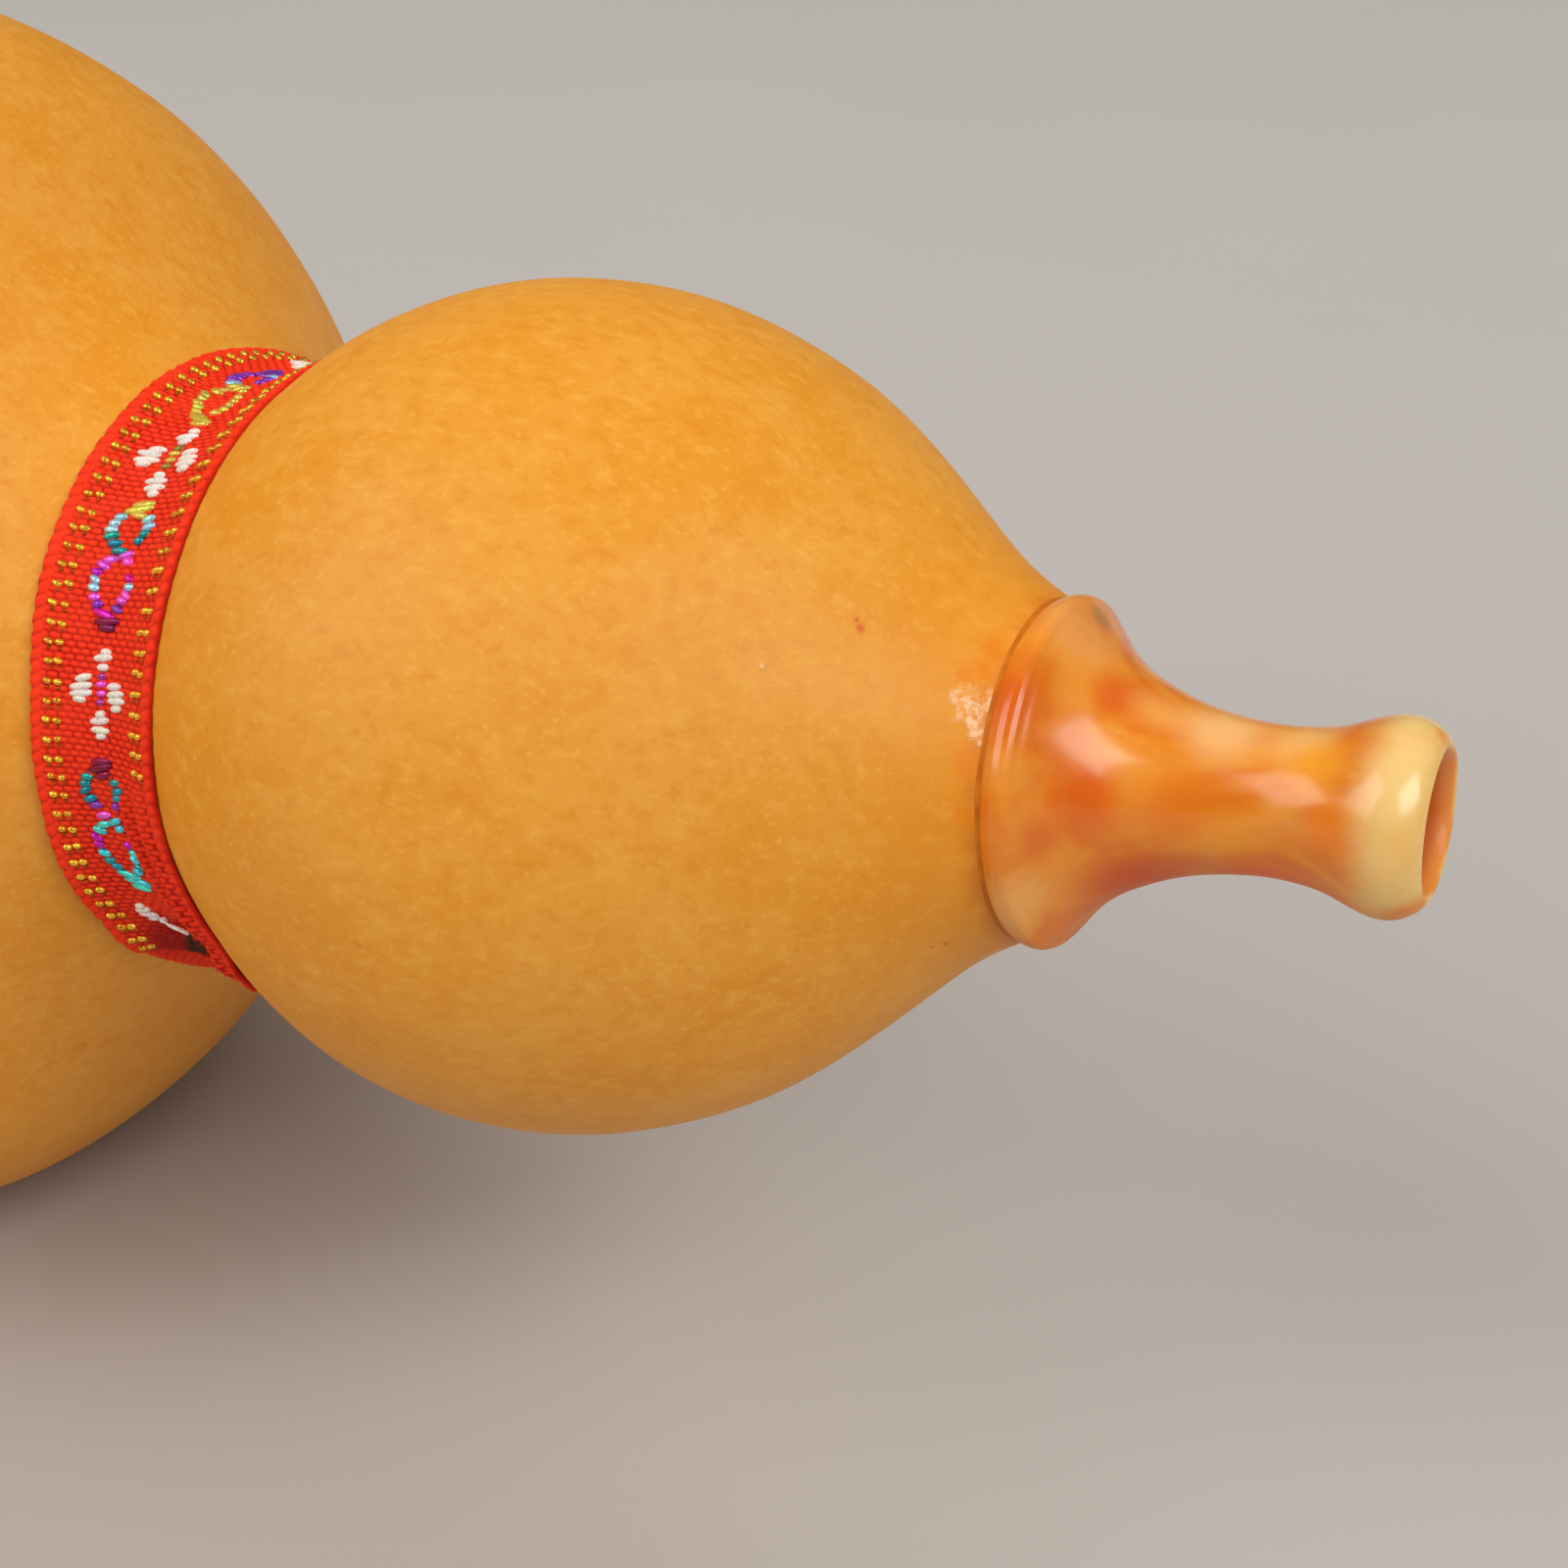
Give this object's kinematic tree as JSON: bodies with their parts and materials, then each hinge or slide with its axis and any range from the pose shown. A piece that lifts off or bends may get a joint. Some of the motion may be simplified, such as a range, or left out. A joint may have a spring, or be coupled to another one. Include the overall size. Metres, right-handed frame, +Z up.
{
  "type": "hulusi",
  "caption": "Gourd free-reed pipe: a varnished bottle gourd wind chamber with a turned mouthpiece and ribbon, holding a fingered playing pipe between two drone pipes.",
  "frame": {"origin": "middle of the bounding box at its bottom, on the surface that the instrument lies on", "axes": "+X along the instrument towards the mouthpiece, +Z up with the six finger holes upwards, +Y towards the player's right-hand drone; the long axis rises 7.07 degrees towards the mouthpiece"},
  "size_m": [0.4604, 0.1028, 0.1024],
  "materials": {
    "gourd": "satin varnish over dried gourd, orange-ochre, slightly mottled",
    "agate_resin": "polished agate-coloured resin, orange with cream swirls",
    "bamboo": "dark brown bamboo under gloss lacquer",
    "brass": "rolled sheet, lightly tarnished",
    "wax": "brown beeswax and rosin, dull",
    "cork": "sanded cork",
    "thread": "waxed white cotton thread",
    "ribbon": "bright red woven jacquard ribbon",
    "metallic_thread": "gold metallic weft stitches",
    "figure_thread": "white and coloured figure threads",
    "glue": "clear yellowish glue, glossy"
  },
  "bodies": {
    "gourd": {"gourd_shell": "gourd", "mouthpiece": "agate_resin", "mouthpiece_glue_bead": "glue", "waist_ribbon": "ribbon", "base_cap": "agate_resin", "base_wax_seal": "wax", "main_socket": "agate_resin", "main_reed_tube": "bamboo", "main_reed_tube_plug": "wax", "main_reed_plate": "brass", "main_reed_wax": "wax", "left_drone_pipe": "bamboo", "left_drone_top_plug": "wax", "left_reed_plate": "brass", "left_reed_wax": "wax", "left_drone_wax_seal": "wax", "left_drone_ferrule": "agate_resin", "right_drone_pipe": "bamboo", "right_drone_top_plug": "wax", "right_reed_plate": "brass", "right_reed_wax": "wax", "right_drone_wax_seal": "wax", "right_drone_ferrule": "agate_resin"},
    "tenon_wrap": {"tenon_thread_wrap": "thread"},
    "pipe": {"playing_pipe": "bamboo", "playing_pipe_top_ring": "agate_resin", "foot_ring": "agate_resin"},
    "left_stopper": {"left_stopper": "agate_resin", "left_stopper_cork": "cork"},
    "right_stopper": {"right_stopper": "agate_resin", "right_stopper_cork": "cork"},
    "main_tongue": {"main_reed_tongue": "brass"},
    "left_tongue": {"left_reed_tongue": "brass"},
    "right_tongue": {"right_reed_tongue": "brass"}
  },
  "joints": [
    {"name": "tuning_slide", "type": "slide", "parent": "gourd", "child": "tenon_wrap", "axis": [-0.9924, 0, -0.1231], "range_m": [0, 0.01]},
    {"name": "pipe_turn", "type": "hinge", "parent": "tenon_wrap", "child": "pipe", "pos_m": [-0.02675, 0, 0.03563], "axis": [0.9924, 0, 0.1231], "continuous": true},
    {"name": "left_stopper_slide", "type": "slide", "parent": "gourd", "child": "left_stopper", "axis": [-0.9924, 0, -0.1231], "range_m": [0, 0.012]},
    {"name": "right_stopper_slide", "type": "slide", "parent": "gourd", "child": "right_stopper", "axis": [-0.9924, 0, -0.1231], "range_m": [0, 0.012]},
    {"name": "main_tongue_flex", "type": "hinge", "parent": "gourd", "child": "main_tongue", "pos_m": [0.09825, 0, 0.05717], "axis": [0, 1, 0], "range_deg": [-4, 4], "stiffness_Nm_per_rad": 0.004},
    {"name": "left_tongue_flex", "type": "hinge", "parent": "gourd", "child": "left_tongue", "pos_m": [0.09885, -0.018, 0.05725], "axis": [0, 1, 0], "range_deg": [-4, 4], "stiffness_Nm_per_rad": 0.004},
    {"name": "right_tongue_flex", "type": "hinge", "parent": "gourd", "child": "right_tongue", "pos_m": [0.09954, 0.018, 0.05733], "axis": [0, 1, 0], "range_deg": [-4, 4], "stiffness_Nm_per_rad": 0.004}
  ]
}
